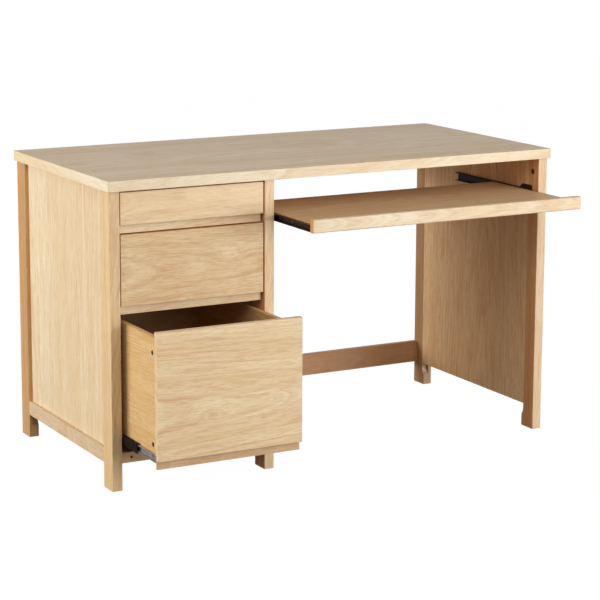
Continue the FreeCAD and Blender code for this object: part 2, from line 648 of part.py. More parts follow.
# Keyboard tray: a board with a raised front lip
def tray():
    front = FACE_FRONT - TRAY_DRAWN
    board_front = front + TRAY_LIP_THICKNESS
    case_screws, case_holes, tray_screws, tray_holes = tray_runners(board_front + TRAY_RUNNER_FRONT_GAP)
    board = slab(TRAY_LEFT, TRAY_RIGHT, board_front, board_front + TRAY_DEPTH,
                 TRAY_TOP - TRAY_THICKNESS, TRAY_TOP)
    PARTS["tray_board"] = cut_all(board, tray_holes)
    lip_high = TRAY_TOP + TRAY_LIP_RISE
    lip = slab(INNER_OUTER + TRAY_LIP_SIDE_GAP, RIGHT_FLUSH - TRAY_LIP_SIDE_GAP, front, board_front,
               lip_high - TRAY_LIP_HEIGHT, lip_high)
    PARTS["tray_lip"] = lip.makeFillet(TRAY_LIP_EASE, edges_at_front(lip, front))
    PARTS["tray_screws"] = group(tray_screws)
    return case_screws, case_holes


def build():
    table_top()
    end_frames()
    block_screws = rails()
    drawer_screws, drawer_holes = drawers()
    tray_case_screws, tray_case_holes = tray()
    for name in ("left_panel", "inner_panel"):
        PARTS[name] = cut_all(PARTS[name], drawer_holes)
    for name in ("tray_packer", "inner_front_leg", "right_panel"):
        PARTS[name] = cut_all(PARTS[name], tray_case_holes)
    PARTS["case_screws"] = group(block_screws + drawer_screws + tray_case_screws)
    os.makedirs("parts", exist_ok=True)
    for name, shape in PARTS.items():
        placed = shape.copy()
        placed.translate(vector(0, -ORIGIN_Y, 0))
        placed.exportStep("parts/" + name + ".step")
    print(len(PARTS), "nodes")


build()
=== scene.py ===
# %% [markdown]
# # A writing desk in light oak
#
# The desk is a pedestal of three drawers, a knee space with a sliding keyboard tray, and a veneered
# top. Its boards, joints and runners come packed as a model at real size, which stays fixed through
# this lesson. What is added here is what the eye and the hand notice: arrises that a sander has
# softened, round fastener heads with their cross slots, the balls in the runners, and an oak figure
# that differs on every board.

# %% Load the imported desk
import json
import math

import bmesh
import bpy
import numpy as np
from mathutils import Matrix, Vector

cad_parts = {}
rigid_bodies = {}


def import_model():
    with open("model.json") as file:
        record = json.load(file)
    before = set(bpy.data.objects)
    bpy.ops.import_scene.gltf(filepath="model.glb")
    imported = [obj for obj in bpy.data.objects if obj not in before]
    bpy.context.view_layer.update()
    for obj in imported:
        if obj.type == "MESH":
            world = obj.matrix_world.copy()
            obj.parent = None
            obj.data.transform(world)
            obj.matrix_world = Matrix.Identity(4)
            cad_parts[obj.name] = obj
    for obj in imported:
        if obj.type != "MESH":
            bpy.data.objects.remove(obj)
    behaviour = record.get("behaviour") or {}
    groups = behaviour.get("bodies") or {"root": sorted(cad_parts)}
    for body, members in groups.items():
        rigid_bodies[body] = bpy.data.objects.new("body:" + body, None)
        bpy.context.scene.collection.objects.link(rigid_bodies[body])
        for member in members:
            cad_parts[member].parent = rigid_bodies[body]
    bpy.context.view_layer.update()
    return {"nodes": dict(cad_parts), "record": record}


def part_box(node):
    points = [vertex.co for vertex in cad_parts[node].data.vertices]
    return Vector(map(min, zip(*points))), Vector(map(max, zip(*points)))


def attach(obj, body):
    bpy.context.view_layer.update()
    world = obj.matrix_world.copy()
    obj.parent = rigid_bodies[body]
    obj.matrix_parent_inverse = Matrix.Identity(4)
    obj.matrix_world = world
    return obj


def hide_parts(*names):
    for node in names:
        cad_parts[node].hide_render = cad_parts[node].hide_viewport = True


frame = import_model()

nodes = frame["nodes"]
record = frame["record"]
body_of = {node: body for body, members in record["behaviour"]["bodies"].items()
           for node in members}

# %% [markdown]
# ## The camera
#
# A picture of a desk is taken with a long lens from a few metres away, so that its edges stay
# nearly parallel. The place, the aim and the focal length were worked out from the corners of the
# desk, which are known in metres. The picture is a crop whose middle isn't the lens's middle, and a
# small shift says so.

# %% Set up the camera
PICTURE_SIDE = 600
LENS_MIDDLE = (255, 243)
FOCAL_PIXELS = 2044.3
CAMERA_PLACE = (-2.483, -4.521, 1.4613)
CAMERA_YAW = -27.48
CAMERA_PITCH = -10.35
SENSOR = 36.0


def linked(name, data):
    """A new object with this data, linked to the scene."""
    made = bpy.data.objects.new(name, data)
    bpy.context.scene.collection.objects.link(made)
    return made


camera_data = bpy.data.cameras.new("camera")
camera_data.sensor_width = SENSOR
camera_data.lens = FOCAL_PIXELS / PICTURE_SIDE * SENSOR
camera_data.shift_x = (PICTURE_SIDE / 2 - LENS_MIDDLE[0]) / PICTURE_SIDE
camera_data.shift_y = (LENS_MIDDLE[1] - PICTURE_SIDE / 2) / PICTURE_SIDE
camera = linked("camera", camera_data)
camera.location = CAMERA_PLACE
camera.rotation_euler = (math.radians(90 + CAMERA_PITCH), 0, math.radians(CAMERA_YAW))
bpy.context.scene.camera = camera
print("lens in millimetres:", round(camera_data.lens, 1))

# %% [markdown]
# ## Skins of points
#
# Most new pieces are skins over rings of points: a grid with one row for each ring, whose columns
# close round. The shape of the rings is arithmetic on whole arrays, and the faces between them are
# the same for any piece. The exact direction of the surface is known at every point too. With it
# the broad faces look flat and the narrow arrises smooth.

# %% Turn rings of points into a piece
def ring_faces(rows, columns, first=0):
    """Quads between neighbouring rings, and one cap on the first and on the last ring."""
    row = np.arange(rows - 1)[:, None] * columns
    column = np.arange(columns)[None, :]
    beside = (column + 1) % columns
    corners = np.broadcast_arrays(row + column, row + beside,
                                  row + columns + beside, row + columns + column)
    quads = np.stack(corners, axis=-1).reshape(-1, 4) + first
    low_cap = np.arange(columns)[::-1] + first
    high_cap = np.arange(columns) + (rows - 1) * columns + first
    return quads.tolist() + [low_cap.tolist(), high_cap.tolist()]


def make_piece(name, shells, body, replaced=()):
    """One piece of closed skins, each a pair of arrays: points and directions, by ring."""
    points, directions, faces = [], [], []
    first = 0
    for rings, normals in shells:
        points.append(rings.reshape(-1, 3))
        directions.append(normals.reshape(-1, 3))
        faces += ring_faces(rings.shape[0], rings.shape[1], first)
        first += rings.shape[0] * rings.shape[1]
    mesh = bpy.data.meshes.new(name)
    mesh.from_pydata(np.concatenate(points).tolist(), [], faces)
    mesh.shade_smooth()
    mesh.normals_split_custom_set_from_vertices(np.concatenate(directions).tolist())
    made = linked(name, mesh)
    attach(made, body)
    if replaced:
        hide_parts(*replaced)
    return made


print("four rings of eight points are closed by", len(ring_faces(4, 8)), "faces")

# %% [markdown]
# ## Boards with softened arrises
#
# A board leaves the saw with sharp edges, and the maker sands each arris round by half a millimetre
# or so. That thin round catches the light and tells a real board from a box. Here the board is made
# as a maker would run a moulding: an outline with rounded corners, carried along the board's length
# and drawn in at both ends along a quarter circle.

# %% An outline with rounded corners
ARC_STEPS = 3


def rounded_outline(corners, radii):
    """Points and outward directions of a closed outline, anticlockwise, with an arc at each corner.
    The arc's centre lies one radius in from both sides that meet at the corner, and the arc's
    points lie one radius out from it, as the direction turns evenly from one side's to the next. At
    an inner corner the centre lies outside."""
    corners = np.asarray(corners, float)
    radii = np.broadcast_to(np.asarray(radii, float), len(corners))[:, None, None]
    onward = np.roll(corners, -1, axis=0) - corners
    onward /= np.linalg.norm(onward, axis=1)[:, None]
    out_of = np.stack([onward[:, 1], -onward[:, 0]], axis=1)
    into = np.roll(out_of, 1, axis=0)
    cross = into[:, 0] * out_of[:, 1] - into[:, 1] * out_of[:, 0]
    dot = (into * out_of).sum(axis=1)
    turn = np.arctan2(cross, dot)
    side = np.sign(turn)[:, None, None]
    start = np.arctan2(into[:, 1], into[:, 0])
    angle = start[:, None] + turn[:, None] * np.linspace(0, 1, ARC_STEPS + 1)[None, :]
    direction = np.stack([np.cos(angle), np.sin(angle)], axis=-1)
    to_centre = ((into + out_of) / (1 + dot)[:, None])[:, None, :]
    points = corners[:, None, :] + side * radii * (direction - to_centre)
    return points.reshape(-1, 2), direction.reshape(-1, 2)


square = [(0, 0), (1, 0), (1, 1), (0, 1)]
print("points round a softened square:", len(rounded_outline(square, 0.1)[0]))

# %% A bar of that outline, softened at both ends
MM = 0.001
X, Y, Z = 0, 1, 2


def moulding(corners, radii, axis, start, stop, ease):
    """A skin over an outline carried along an axis. At each end, as an angle goes from zero to a
    quarter turn, the ring is set in from the end by ease times (1 - cos) and drawn in by ease times
    (1 - sin)."""
    outline, outward = rounded_outline(corners, radii)
    angle = np.linspace(0, math.pi / 2, ARC_STEPS + 1)
    set_in = ease * (1 - np.cos(angle))
    drawn_in = ease * (1 - np.sin(angle))
    along = np.concatenate([start + set_in, (stop - set_in)[::-1]])
    inset = np.concatenate([drawn_in, drawn_in[::-1]])
    lean = np.concatenate([-np.cos(angle), np.cos(angle)[::-1]])
    upright = np.concatenate([np.sin(angle), np.sin(angle)[::-1]])
    section = outline[None] - inset[:, None, None] * outward[None]
    rings = np.empty((len(along), len(outline), 3))
    normals = np.empty_like(rings)
    rings[..., axis] = along[:, None]
    normals[..., axis] = lean[:, None]
    for part in (0, 1):
        rings[..., (axis + 1 + part) % 3] = section[..., part]
        normals[..., (axis + 1 + part) % 3] = upright[:, None] * outward[None, :, part]
    return rings, normals


def box_bar(low, high, axis, radius, ease):
    """A plain board between two corners, run along an axis."""
    a, b = (axis + 1) % 3, (axis + 2) % 3
    corners = [(low[a], low[b]), (high[a], low[b]), (high[a], high[b]), (low[a], high[b])]
    return moulding(corners, radius, axis, low[axis], high[axis], ease)


rings = box_bar((0, 0, 0), (1, 0.1, 0.02), X, MM, MM)[0]
print("a board's skin has", rings.shape[0], "rings of", rings.shape[1], "points")

# %% [markdown]
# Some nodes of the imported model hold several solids, such as the three base rails, and to make each
# anew its own box is needed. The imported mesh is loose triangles, so equal corners are given one
# number, and the lowest number is passed along the triangles until nothing changes: what shares a
# number is one solid.

# %% Find the solids in a node
SAME_DIGITS = 6
ORDER_DIGITS = 4


def places_of(mesh):
    """The corners of a mesh, one row for each."""
    places = np.empty(len(mesh.vertices) * 3, np.float32)
    mesh.vertices.foreach_get("co", places)
    return places.reshape(-1, 3)


def solids_in(node):
    """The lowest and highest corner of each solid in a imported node, in order along X, Y and Z."""
    mesh = nodes[node].data
    corners = np.empty(len(mesh.loops), np.int32)
    mesh.loops.foreach_get("vertex_index", corners)
    places = np.round(places_of(mesh), SAME_DIGITS)
    keys, same = np.unique(places, axis=0, return_inverse=True)
    triangles = same.reshape(-1)[corners].reshape(-1, 3)
    label = np.arange(len(keys))
    while True:
        lowest = label[triangles].min(axis=1)
        passed = label.copy()
        np.minimum.at(passed, triangles.reshape(-1), np.repeat(lowest, 3))
        passed = passed[passed]
        if (passed == label).all():
            break
        label = passed
    solids = [keys[label == mark] for mark in np.unique(label)]
    boxes = [(solid.min(axis=0), solid.max(axis=0)) for solid in solids]
    return sorted(boxes, key=lambda box: tuple(np.round(box[0], ORDER_DIGITS)))


print("base rails:", len(solids_in("base_rails")), "solids")

# %% Make the plain boards
ARRIS = 0.7 * MM
THIN_ARRIS = 0.4 * MM
END_SHARE = 0.8
DRAWERS = ("top_drawer", "middle_drawer", "file_drawer")


def remade(node, shells):
    """The piece that takes the place of a packed board."""
    return make_piece(node + "_board", shells, body_of[node], [node])


def board(node, axis):
    """The boards of a node as softened bars, with smaller arrises on thin boards and at ends."""
    arris = THIN_ARRIS if node.endswith(("pull_strip", "bottom")) else ARRIS
    return remade(node, [box_bar(low, high, axis, arris, arris * END_SHARE)
                         for low, high in solids_in(node)])


plain_boards = {
    "left_panel": Z, "inner_panel": Z, "right_panel": Z, "base_rails": Y, "tray_packer": Y,
    "pedestal_top_rail": X, "pedestal_back_panel": Z, "rail_blocks": X,
    "rear_stretcher": X, "rear_top_rail": X, "tray_board": X,
}
for drawer in DRAWERS:
    for name in ("pull_strip", "back", "bottom"):
        plain_boards[drawer + "_" + name] = X
boards = {node: board(node, axis) for node, axis in plain_boards.items()}
print("boards made anew:", len(boards))

# %% [markdown]
# ## The board that closes the pedestal below
#
# Above the foot rail and under the open file drawer the pedestal is dark, and no floor shows
# through. So a plain board lies between the side panels there, from the corner blocks back to the
# rear panel. Its place follows from its neighbours: flush with the rail's lower edge, and as thick
# as the rail.

# %% Make the closing board
rail_low, rail_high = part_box("pedestal_front_rail")
blocks_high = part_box("rail_blocks")[1]
rear_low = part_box("pedestal_back_panel")[0]
low = Vector((rail_low.x, blocks_high.y, rail_low.z))
high = Vector((rail_high.x, rear_low.y, rail_low.z + rail_high.y - rail_low.y))
boards["pedestal_closing_board"] = make_piece(
    "pedestal_closing_board", [box_bar(low, high, X, ARRIS, ARRIS)], "case")
print("closing board in millimetres:", [round(size / MM, 1) for size in high - low])

# %% [markdown]
# ## Drawer faces
#
# Each face is lapped over the pull strip below it: a step cut in its back takes the strip, whose
# front lies a centimetre behind the front of the face. The outline of that step, seen from the
# side, is carried along the width.

# %% Make the three drawer faces
def drawer_face(drawer):
    """The outline of a face, from its own box and from the strip that it laps over."""
    low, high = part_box(drawer + "_face")
    strip_low, strip_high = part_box(drawer + "_pull_strip")
    step_y, step_z = strip_low.y, strip_high.z
    corners = [(low.y, low.z), (step_y, low.z), (step_y, step_z), (high.y, step_z),
               (high.y, high.z), (low.y, high.z)]
    radii = [ARRIS, ARRIS, THIN_ARRIS, THIN_ARRIS, ARRIS, ARRIS]
    shell = moulding(corners, radii, X, low.x, high.x, THIN_ARRIS)
    return remade(drawer + "_face", [shell])


for drawer in DRAWERS:
    boards[drawer + "_face"] = drawer_face(drawer)
print("boards with the drawer faces:", len(boards))

# %% [markdown]
# ## The lip of the keyboard tray
#
# The lip is a rail glued to the front of the tray board. Its front arrises are rounder, because the
# wrists rest there, so its outline has two larger corners.

# %% Make the tray's lip
LIP_ROUND = 3.0 * MM
low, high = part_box("tray_lip")
corners = [(low.y, low.z), (high.y, low.z), (high.y, high.z), (low.y, high.z)]
lip = moulding(corners, [LIP_ROUND, ARRIS, ARRIS, LIP_ROUND], X, low.x, high.x, THIN_ARRIS)
boards["tray_lip"] = remade("tray_lip", [lip])
print("tray lip in millimetres:", [round(size / MM, 1) for size in high - low])

# %% [markdown]
# ## The lippings of the top
#
# The top is a veneered board, and its four edges are covered by thin strips of oak, mitred at the
# corners and sanded round there. Each strip is a section carried along a path: half the turn of one
# corner, the straight edge, and half the turn of the next corner. The middle of the turn lies just
# inside the strip's back, so that the rings never close to a point.

# %% Make the four lippings
LIPPING = 3.0 * MM
CORNER_ROUND = 3.2 * MM
LIPPING_ARRIS = 1.0 * MM
HAIRLINE = 0.1 * MM
TURN_STEPS = 3
EDGES = {"right": 0, "rear": math.pi / 2, "left": math.pi, "front": -math.pi / 2}


def lipping(low, high, outward_angle):
    """One strip of the top's edge. A section point lies (corner radius - depth) out from the path,
    along a direction that turns an eighth of a circle at each end of the straight."""
    centre = np.mean((low, high), axis=0)[:2]
    out = np.array([math.cos(outward_angle), math.sin(outward_angle)])
    tangent = np.array([-out[1], out[0]])
    half = np.array((high - low).xy) / 2 - CORNER_ROUND
    ends = [centre + out * abs(out @ half) + tangent * sign * abs(tangent @ half)
            for sign in (-1, 1)]
    turns = np.linspace(0, math.pi / 4, TURN_STEPS + 1)
    angles = outward_angle + np.concatenate([-turns[::-1], turns])
    path = np.repeat(ends, TURN_STEPS + 1, axis=0)
    direction = np.stack([np.cos(angles), np.sin(angles)], axis=1)
    corners = [(0, low.z), (0, high.z), (-LIPPING, high.z), (-LIPPING, low.z)]
    radii = [LIPPING_ARRIS, LIPPING_ARRIS, HAIRLINE, HAIRLINE]
    section, normal = rounded_outline(corners, radii)
    rings = np.empty((len(path), len(section), 3))
    normals = np.empty_like(rings)
    reach = CORNER_ROUND + section[:, 0]
    rings[..., :2] = path[:, None, :] + reach[None, :, None] * direction[:, None, :]
    rings[..., 2] = section[:, 1]
    normals[..., :2] = normal[None, :, :1] * direction[:, None, :]
    normals[..., 2] = normal[:, 1]
    return rings[::-1], normals[::-1]


low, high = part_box("top_lippings")
lippings = {}
for name, angle in EDGES.items():
    shell = lipping(low, high, angle)
    lippings[name] = make_piece("top_lipping_" + name, [shell], "case", ["top_lippings"])
print("lippings:", sorted(lippings))

# %% [markdown]
# ## Legs, drawer sides and the front rail
#
# These boards are machined, with rebates, grooves, pockets and screw holes, and a leg's rebate ends
# in the curve of the round cutter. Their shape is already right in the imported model, so a copy of
# it is used. Its loose triangles are merged into whole faces, and a narrow bevel softens every
# arris, also round the pockets, but not the small turns within the cutter's curve.

# %% Soften the machined boards
MACHINED_ARRIS = 0.3 * MM
MERGE_WITHIN = 0.001 * MM
FLAT_TURN = math.radians(1)
BEVEL_TURN = math.radians(28)
BEVEL_STEPS = 2


def softened(node):
    """A merged copy of a packed board, with a bevel on each edge that turns by a good deal."""
    merged = bmesh.new()
    merged.from_mesh(nodes[node].data)
    bmesh.ops.remove_doubles(merged, verts=merged.verts, dist=MERGE_WITHIN)
    bmesh.ops.dissolve_limit(merged, angle_limit=FLAT_TURN, verts=merged.verts, edges=merged.edges)
    mesh = bpy.data.meshes.new(node + "_board")
    merged.to_mesh(mesh)
    merged.free()
    if "custom_normal" in mesh.attributes:
        mesh.attributes.remove(mesh.attributes["custom_normal"])
    mesh.shade_smooth()
    made = linked(node + "_board", mesh)
    bevel = made.modifiers.new("arris", "BEVEL")
    bevel.width = MACHINED_ARRIS
    bevel.segments = BEVEL_STEPS
    bevel.limit_method = "ANGLE"
    bevel.angle_limit = BEVEL_TURN
    bevel.harden_normals = True
    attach(made, body_of[node])
    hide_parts(node)
    return made


machined = [node for node in nodes if node.endswith(("_leg", "_side", "_front_rail"))]
boards.update({node: softened(node) for node in machined})
print("boards in all:", len(boards))

# %% [markdown]
# ## Fasteners
#
# A screw head or a cam lock is a turned piece with a cross driven into its face. The outline of the
# cross is a distance from the middle that changes with the direction: along an arm it is the arm's
# length over the cosine, and beside an arm it is half the slot's width over the sine. So the head
# is a grid of rings round the middle: the floor of the cross, its wall, the face, and then the
# turned side.

# %% The outline of a cross, and a turned piece that carries one
OCTANT_STEPS = 3
LEAST_SINE = 1e-6
LEAST_LENGTH = 1e-12
CROSS_RINGS = ((0.05, 1.0), (0.8, 1.0), (1.0, 0.1), (1.02, 0.0))   # shares of reach and of depth


def cross_reach(angle, arm, half_slot):
    """How far the cross reaches in each direction, folded into one eighth of the circle."""
    folded = np.abs((angle + math.pi / 4) % (math.pi / 2) - math.pi / 4)
    along_arm = arm / np.cos(folded)
    beside_arm = half_slot / np.maximum(np.sin(folded), LEAST_SINE)
    return np.minimum(along_arm, beside_arm)


def cross_angles(arm, half_slot):
    """Directions for the columns: the corners of the cross, and a few between them."""
    corner = math.atan2(half_slot, arm)
    beside = np.linspace(corner, math.pi / 4, OCTANT_STEPS + 1)[1:]
    eighth = np.concatenate([[0], [corner], beside])
    quarter = np.concatenate([eighth, math.pi / 2 - eighth[::-1][1:-1]])
    return np.concatenate([quarter + math.pi / 2 * turn for turn in range(4)])


def driven(seat, into, profile, arm, half_slot, sink):
    """A turned piece with a cross in its face. Seat is the middle of the face, into is where it
    points, and profile lists (radius, depth) from the face's rim to the far end."""
    angles = cross_angles(arm, half_slot)
    reach = cross_reach(angles, arm, half_slot)
    radius = [reach * share for share, _ in CROSS_RINGS]
    depth = [sink * share for _, share in CROSS_RINGS]
    radius += [np.full_like(reach, r) for r, _ in profile]
    depth += [d for _, d in profile]
    radius = np.array(radius)
    depth = np.array(depth)[:, None] * np.ones_like(reach)
    first = np.array([into[1], into[2], into[0]])
    second = np.cross(into, first)
    spoke = np.cos(angles)[:, None] * first + np.sin(angles)[:, None] * second
    rings = np.asarray(seat) + radius[..., None] * spoke + depth[..., None] * into
    rise = np.gradient(depth, axis=0)
    spread = np.gradient(radius, axis=0)
    normals = rise[..., None] * spoke - spread[..., None] * into
    normals /= np.maximum(np.linalg.norm(normals, axis=-1), LEAST_LENGTH)[..., None]
    return rings, normals


def seated(low, high, axis, at_high):
    """The middle of a packed box's high or low end, and the direction from there into the box."""
    seat = (low + high) / 2
    seat[axis] = high[axis] if at_high else low[axis]
    into = np.zeros(3)
    into[axis] = -1 if at_high else 1
    return seat, into


print("a head with a cross has", len(cross_angles(2.0, 0.5)), "columns")

# %% [markdown]
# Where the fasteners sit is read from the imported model, whose screws and cams are plain few-sided
# bars. A screw or a bolt is long along its axis, and a screw's wider end is its head. A cam drum is
# short, and its open face is the one away from its board's middle.

# %% Screws
SCREW_HEAD = 6.5 * MM
SCREW_SHANK = 3.5 * MM
SCREW_ARM = 2.0 * MM
SCREW_SLOT = 0.45 * MM
SCREW_SINK = 1.1 * MM
HEAD_PROFILE = ((0.96, 0.02), (1.0, 0.2), (0.98, 0.4))   # share of the radius, millimetres deep
NECK_DEPTH = 1.6 * MM
POINT_START, POINT_END, POINT_SHARE = 0.8, 0.99, 0.1
TOUCHING = 1e-6
END_DEPTH = 1e-5


def screw(low, high, head_high):
    """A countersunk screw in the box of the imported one, with its head at the high or low end."""
    size = high - low
    axis = int(np.argmax(size))
    length = size[axis]
    seat, into = seated(low, high, axis, head_high)
    head, shank = SCREW_HEAD / 2, SCREW_SHANK / 2
    profile = [(head * share, deep * MM) for share, deep in HEAD_PROFILE]
    profile += [(shank, NECK_DEPTH), (shank, length * POINT_START),
                (shank * POINT_SHARE, length * POINT_END)]
    return driven(seat, into, profile, SCREW_ARM, SCREW_SLOT, SCREW_SINK)


def head_is_high(node, low, high):
    """True if the wide end of a packed bar is at its high end: the corners there spread further."""
    axis = int(np.argmax(high - low))
    places = places_of(nodes[node].data)
    mine = places[((places >= low - TOUCHING) & (places <= high + TOUCHING)).all(axis=1)]
    top = mine[mine[:, axis] > high[axis] - END_DEPTH]
    bottom = mine[mine[:, axis] < low[axis] + END_DEPTH]
    return np.ptp(top, axis=0).sum() > np.ptp(bottom, axis=0).sum()


def screws_of(node, name):
    """All the screws of a node as one piece."""
    shells = [screw(low, high, head_is_high(node, low, high)) for low, high in solids_in(node)]
    print(name, len(shells))
    return make_piece(name, shells, body_of[node], [node])


case_screws = screws_of("case_screws", "round_case_screws")
screws_of("tray_screws", "round_tray_screws")

# %% Cam locks and their bolts
CAM_ARM = 3.6 * MM
CAM_SLOT = 0.8 * MM
CAM_SINK = 1.6 * MM
FULL_ARM_RADIUS = 7.0      # millimetres: a smaller drum has shorter arms
DRUM_PROFILE = ((0.72, 0.0), (0.76, 0.35), (0.9, 0.35), (0.94, 0.0), (0.98, 0.05), (1.0, 0.4))
DRUM_WALL, DRUM_FOOT = 0.98, 0.9
BOLT_RADIUS = 3.0 * MM
BOLT_THREAD = 2.25 * MM
THREAD_LENGTH = 9.0 * MM
BOLT_RIM = 0.4 * MM
BOLT_CHAMFER = 0.5 * MM
BOLT_SINK = 0.5 * MM
BOLT_FACE, BOLT_ARM, BOLT_SLOT, BOLT_TIP = 0.9, 0.5, 0.15, 0.5   # shares of a radius
DRUM_LEAST, DRUM_MOST = 8.0 * MM, 16.0 * MM


def cam_drum(low, high, board_middle):
    """A cam lock in its packed box, with its open face away from the board's middle."""
    size = high - low
    axis = int(np.argmin(size))
    seat, into = seated(low, high, axis, ((low + high) / 2)[axis] > board_middle[axis])
    radius = max(size) / 2
    profile = [(radius * share, deep * MM) for share, deep in DRUM_PROFILE]
    profile += [(radius, size[axis] * DRUM_WALL), (radius * DRUM_FOOT, size[axis])]
    arm = CAM_ARM * min(1, radius / FULL_ARM_RADIUS / MM)
    return driven(seat, into, profile, arm, CAM_SLOT, CAM_SINK)


def cam_bolt(low, high, thread_high):
    """A cam bolt in its packed box: a plain shaft, then a thinner thread."""
    size = high - low
    axis = int(np.argmax(size))
    seat, into = seated(low, high, axis, not thread_high)
    length = size[axis]
    shaft = length - THREAD_LENGTH
    profile = [(BOLT_RADIUS * BOLT_FACE, 0), (BOLT_RADIUS, BOLT_RIM), (BOLT_RADIUS, shaft),
               (BOLT_THREAD, shaft + BOLT_CHAMFER), (BOLT_THREAD, length - BOLT_CHAMFER),
               (BOLT_THREAD * BOLT_TIP, length)]
    return driven(seat, into, profile, BOLT_RADIUS * BOLT_ARM, BOLT_RADIUS * BOLT_SLOT, BOLT_SINK)


def is_drum(low, high):
    """A drum is thick every way and short, while a screw is thin and a bolt is long."""
    size = np.sort(high - low)
    return size[0] > DRUM_LEAST and size[2] < DRUM_MOST


leg_middles = [np.mean(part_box(node), axis=0) for node in boards if node.endswith("_leg")]
leg_drums, leg_bolts = [], []
for low, high in solids_in("top_fixings"):
    if is_drum(low, high):
        middle = (low + high) / 2
        holder = min(leg_middles, key=lambda leg: np.abs(leg[:2] - middle[:2]).sum())
        leg_drums.append(cam_drum(low, high, holder))
    else:
        leg_bolts.append(cam_bolt(low, high, True))
make_piece("round_leg_cams", leg_drums, "case", ["top_fixings"])
make_piece("round_leg_bolts", leg_bolts, "case", ["top_fixings"])
print("leg cams:", len(leg_drums), "bolts:", len(leg_bolts))

for drawer in DRAWERS:
    drums, bolts, screws = [], [], []
    node = drawer + "_fittings"
    box_middle = np.mean(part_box(drawer + "_bottom"), axis=0)
    for low, high in solids_in(node):
        if is_drum(low, high):
            drums.append(cam_drum(low, high, box_middle))
        elif np.argmax(high - low) == Y:
            bolts.append(cam_bolt(low, high, False))
        else:
            screws.append(screw(low, high, head_is_high(node, low, high)))
    make_piece(drawer + "_round_cams", drums, drawer, [node])
    make_piece(drawer + "_round_bolts", bolts, drawer, [node])
    make_piece(drawer + "_round_screws", screws, drawer, [node])
    print(drawer, "cams:", len(drums), "bolts:", len(bolts), "screws:", len(screws))

# %% [markdown]
# ## Balls
#
# A drawer runner rolls on two rows of steel balls, which a thin cage keeps apart. A ball is two
# millimetres across and there are hundreds, so each is a coarse sphere. One sphere is worked out
# once, as rings whose radius is the sine of the angle from the pole, and each ball is that sphere
# moved to its place.

# %% Fill the cages with balls
BALL_RADIUS = 1.0 * MM
BALL_PITCH = 8.0 * MM
CAGE_STEEL = 0.5 * MM
POLE_GAP = 0.12
BALL_RINGS = 6
BALL_COLUMNS = 8

polar = np.linspace(POLE_GAP, math.pi - POLE_GAP, BALL_RINGS)[:, None]
around = np.arange(BALL_COLUMNS)[None, :] * math.pi / (BALL_COLUMNS / 2)
sphere = np.stack(np.broadcast_arrays(np.sin(polar) * np.cos(around),
                                      np.sin(polar) * np.sin(around), -np.cos(polar)), axis=-1)


def balls_in(node):
    """Two rows of balls in each cage of a node, evenly spaced in the middle of its flanges."""
    shells = []
    for low, high in solids_in(node):
        count = int((high[Y] - low[Y]) / BALL_PITCH)
        spare = high[Y] - low[Y] - (count - 1) * BALL_PITCH
        rows = low[Y] + spare / 2 + np.arange(count) * BALL_PITCH
        x = (low[X] + high[X]) / 2
        for z in (low[Z] + CAGE_STEEL / 2, high[Z] - CAGE_STEEL / 2):
            shells += [(np.asarray((x, y, z)) + BALL_RADIUS * sphere, sphere) for y in rows]
    print(node, len(shells), "balls")
    name = node.replace("_ball_cages", "_balls")
    return make_piece(name, shells, body_of[node])


balls = {node: balls_in(node) for node in nodes if node.endswith("_ball_cages")}

# %% [markdown]
# ## Oak
#
# Flat-sawn oak shows a figure because the board cuts through the tree's yearly rings, which are
# cones round the heart. So the wood is made the same way, as a solid: a point's distance from the
# heart, plus a slope along the trunk, says which ring it is in. A slow noise makes the trunk
# wander. Where a board passes near the heart the rings come out as arches, and away from it as
# nearly straight lines. A branch pushes the rings aside as it leaves the trunk, and that leaves a
# knot with the lines flowing round it.
#
# Each ring begins with a porous spring layer, which is darker, and fades into pale summer wood, so
# a ring is a line that is sharp on one side and soft on the other. On the rings stand three finer
# things: bands of tone from good and poor years, the fibres, and the pores, which in oak are short
# dark dashes along the grain.

# %% Small helpers for materials
def tone(red, green, blue):
    """A colour given as it looks on a screen, from 0 to 255, turned into light for the shader."""
    share = np.array([red, green, blue]) / 255
    light = np.where(share <= 0.04045, share / 12.92, ((share + 0.055) / 1.055) ** 2.4)
    return (*light.tolist(), 1.0)


def tinted(colour, shares):
    """A colour made lighter or darker by a share for each of its three parts."""
    return tuple(part * share for part, share in zip(colour[:3], shares)) + (1.0,)


class Value:
    """What one node hands to others. Arithmetic with it adds a node for each step."""

    def __init__(self, tree, socket):
        self.tree, self.socket = tree, socket

    def then(self, operation, *others):
        inputs = dict(enumerate((self, *others)))
        return add(self.tree, "Math", inputs, operation=operation)[0]

    def __add__(self, other):
        return self.then("ADD", other)

    def __sub__(self, other):
        return self.then("SUBTRACT", other)

    def __mul__(self, other):
        return self.then("MULTIPLY", other)

    def __truediv__(self, other):
        return self.then("DIVIDE", other)

    __radd__ = __add__


def feed(node, inputs):
    """Feeds a node's inputs, by name or number, with other nodes' values or with plain ones."""
    for name, value in inputs.items():
        if isinstance(value, Value):
            value.tree.links.new(value.socket, node.inputs[name])
        else:
            node.inputs[name].default_value = value


def add(tree, kind, inputs=(), **settings):
    """Adds one shader node with its settings and inputs. Its values come by number and name."""
    made = tree.nodes.new("ShaderNode" + kind)
    for name, value in settings.items():
        setattr(made, name, value)
    feed(made, dict(inputs))
    return {key: Value(tree, socket) for number, socket in enumerate(made.outputs)
            for key in (number, socket.name)}


def apart(vector):
    """The three values of a vector or a colour."""
    return add(vector.tree, "SeparateXYZ", {"Vector": vector})


def noise(vector, seed, detail, roughness=0.5):
    """Noise at scale one, so that the vector alone sets how long and how wide its marks are."""
    inputs = {"Vector": vector, "W": seed, "Scale": 1.0, "Detail": detail, "Roughness": roughness}
    return add(vector.tree, "TexNoise", inputs, noise_dimensions="4D")


